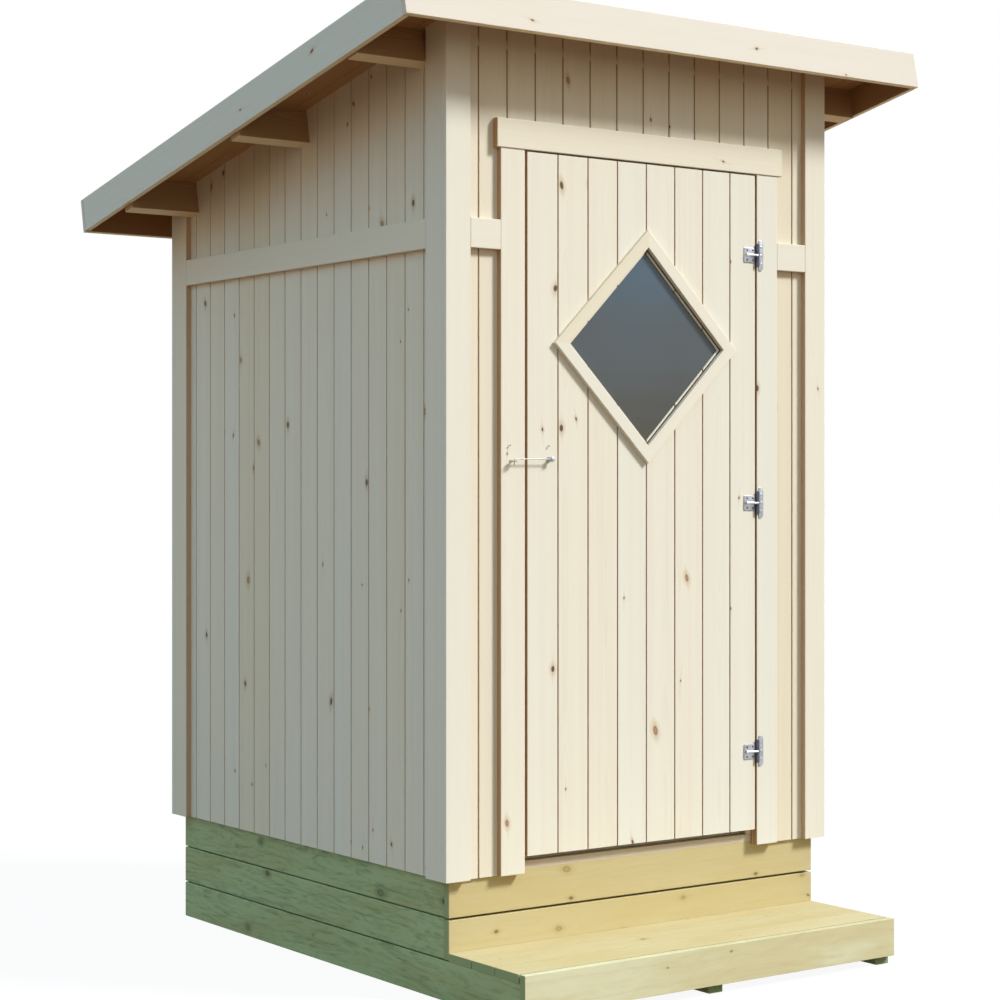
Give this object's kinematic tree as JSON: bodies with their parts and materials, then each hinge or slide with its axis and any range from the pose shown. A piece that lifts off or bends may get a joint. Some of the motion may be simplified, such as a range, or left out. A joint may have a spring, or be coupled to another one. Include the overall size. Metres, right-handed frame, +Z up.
{
  "type": "wooden outhouse",
  "caption": "Small timber outhouse with a lean-to roof, a hinged plank door with a diamond window, a cabin hook and a plank step on a timber base.",
  "frame": {"origin": "on the ground, in the middle of the overall footprint", "axes": "+Z up, +X to the right as seen from the front, +Y from the door to the back wall"},
  "size_m": [1.603, 1.8094, 2.34],
  "materials": {
    "spruce": "planed, unpainted",
    "treated_timber": "pressure treated, pale green",
    "zinc": "bright zinc plated",
    "glass": "clear pane",
    "roofing_felt": "mineral surfaced"
  },
  "bodies": {
    "outhouse": {"back_corner_boards": "spruce", "back_wall": "spruce", "base_cross_timbers": "treated_timber", "base_facings": "treated_timber", "base_side_timbers": "treated_timber", "base_skids": "treated_timber", "corner_posts": "spruce", "door_casings": "spruce", "door_header": "spruce", "door_posts": "spruce", "floor": "spruce", "floor_joists": "treated_timber", "front_corner_boards": "spruce", "front_fascia": "spruce", "front_wall_left": "spruce", "front_wall_right": "spruce", "front_wall_top": "spruce", "head_casing": "spruce", "hinge_frame_leaves": "zinc", "hook_eye": "zinc", "left_bargeboard": "spruce", "left_wall": "spruce", "packers": "treated_timber", "purlins": "spruce", "rear_fascia": "spruce", "right_bargeboard": "spruce", "right_wall": "spruce", "roof_boards": "spruce", "roof_covering": "roofing_felt", "side_corner_boards": "spruce", "sole_plates": "spruce", "step_boards": "treated_timber", "step_front": "treated_timber", "threshold": "spruce", "top_plates": "spruce", "wall_bands": "spruce", "wall_rails": "spruce"},
    "door": {"door_leaf": "spruce", "door_ledges": "spruce", "window_frame": "spruce", "window_glass": "glass", "window_bead": "spruce", "hinge_door_leaves": "zinc", "hook_pivot": "zinc"},
    "hook": {"hook": "zinc"}
  },
  "joints": [
    {"name": "door_hinge", "type": "hinge", "parent": "outhouse", "child": "door", "pos_m": [0.36, -0.636, 1.16], "axis": [0, 0, 1], "range_deg": [0, 120]},
    {"name": "hook_pivot", "type": "hinge", "parent": "door", "child": "hook", "pos_m": [-0.303, -0.645, 1.267], "axis": [0, 1, 0], "range_deg": [0, 150]}
  ]
}
